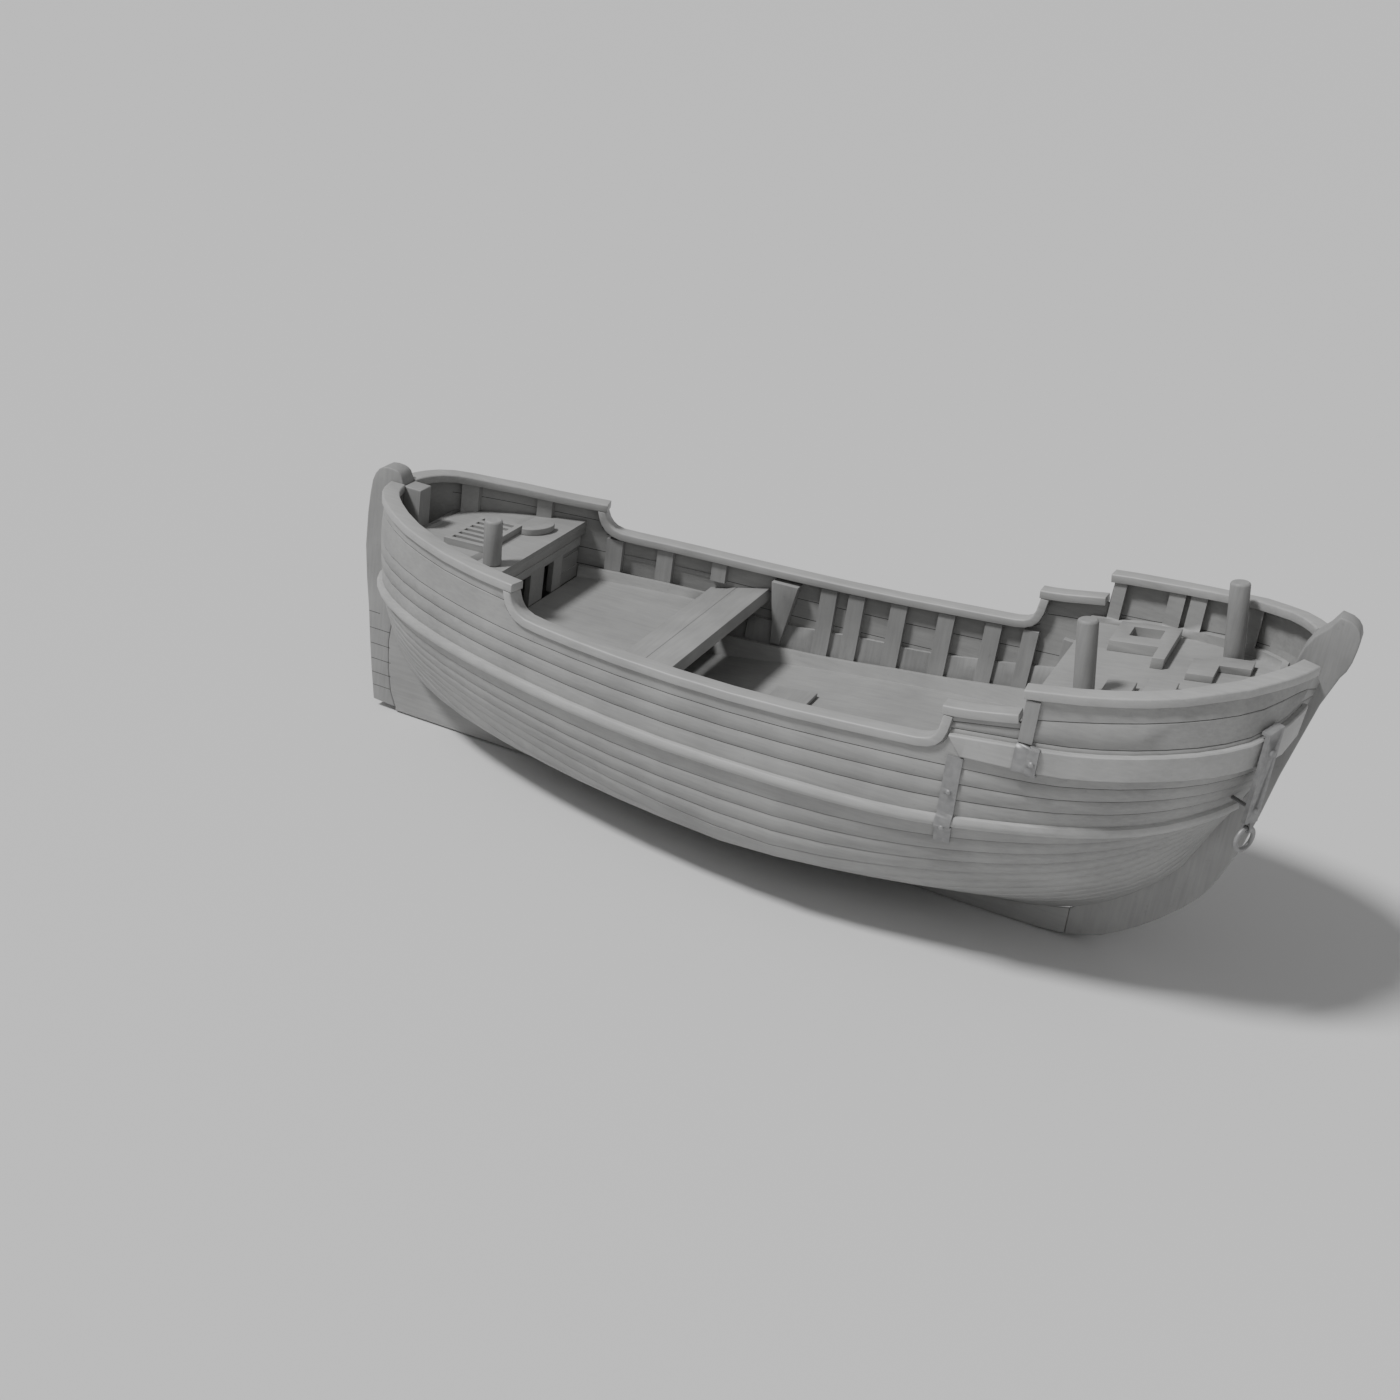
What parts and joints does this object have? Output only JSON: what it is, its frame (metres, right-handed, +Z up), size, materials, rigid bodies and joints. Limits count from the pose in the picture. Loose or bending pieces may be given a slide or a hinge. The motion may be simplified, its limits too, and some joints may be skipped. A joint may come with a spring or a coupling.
{
  "type": "wooden rowboat",
  "caption": "Heavy open wooden rowboat with grooved plank seams, raised ends, short bow and stern decks, mooring posts and hinged bow rings.",
  "frame": {"origin": "on the centre plane amidships, at the waterline", "axes": "+X to the bow, +Y to port, +Z up"},
  "size_m": [6.7764, 2.3762, 2.6589],
  "materials": {
    "wood": "satin grey",
    "iron": "dull"
  },
  "bodies": {
    "hull": {"keel": "wood", "stem": "wood", "sternpost": "wood", "inner_post": "wood", "bottom_planks_port": "wood", "bottom_planks_starboard": "wood", "topside_planks_port": "wood", "topside_planks_starboard": "wood", "stern_bulwark_port": "wood", "stern_bulwark_starboard": "wood", "bow_bulwark_port": "wood", "bow_bulwark_starboard": "wood", "rubbing_strake_port": "wood", "rubbing_strake_starboard": "wood", "bow_wale_port": "wood", "bow_wale_starboard": "wood", "stern_cap_port": "wood", "stern_cap_starboard": "wood", "midship_cap_port": "wood", "midship_cap_starboard": "wood", "quarter_cap_port": "wood", "quarter_cap_starboard": "wood", "bow_cap_port": "wood", "bow_cap_starboard": "wood", "ribs_forward_port": "wood", "ribs_forward_starboard": "wood", "ribs_aft_port": "wood", "ribs_aft_starboard": "wood", "side_board_port": "wood", "side_board_starboard": "wood", "step_platform": "wood", "forward_floor": "wood", "aft_floor": "wood", "mast_step": "wood", "stern_deck": "wood", "stern_beam": "wood", "stern_bulkhead": "wood", "grating_hatch": "wood", "stern_pad": "wood", "stern_bollard": "wood", "foredeck": "wood", "foredeck_beam": "wood", "bow_bollard_aft": "wood", "bow_bollard_fore": "wood", "deck_frame": "wood", "deck_chock": "wood", "deck_pad_aft": "wood", "deck_pad_fore": "wood", "bow_end_post_port": "wood", "bow_end_post_starboard": "wood", "rail_clamp_port": "iron", "rail_clamp_starboard": "iron", "side_strap_port": "iron", "side_strap_starboard": "iron", "bow_iron_port": "iron", "bow_iron_starboard": "iron"},
    "ring_port": {"mooring_ring_port": "iron"},
    "ring_starboard": {"mooring_ring_starboard": "iron"}
  },
  "joints": [
    {"name": "ring_port_swing", "type": "hinge", "parent": "hull", "child": "ring_port", "pos_m": [3.1201, 0.65001, 1.0698], "axis": [0.5201, -0.8541, 0], "range_deg": [-50, 80]},
    {"name": "ring_starboard_swing", "type": "hinge", "parent": "hull", "child": "ring_starboard", "pos_m": [3.1201, -0.65001, 1.0698], "axis": [-0.5201, -0.8541, 0], "range_deg": [-50, 80]}
  ]
}
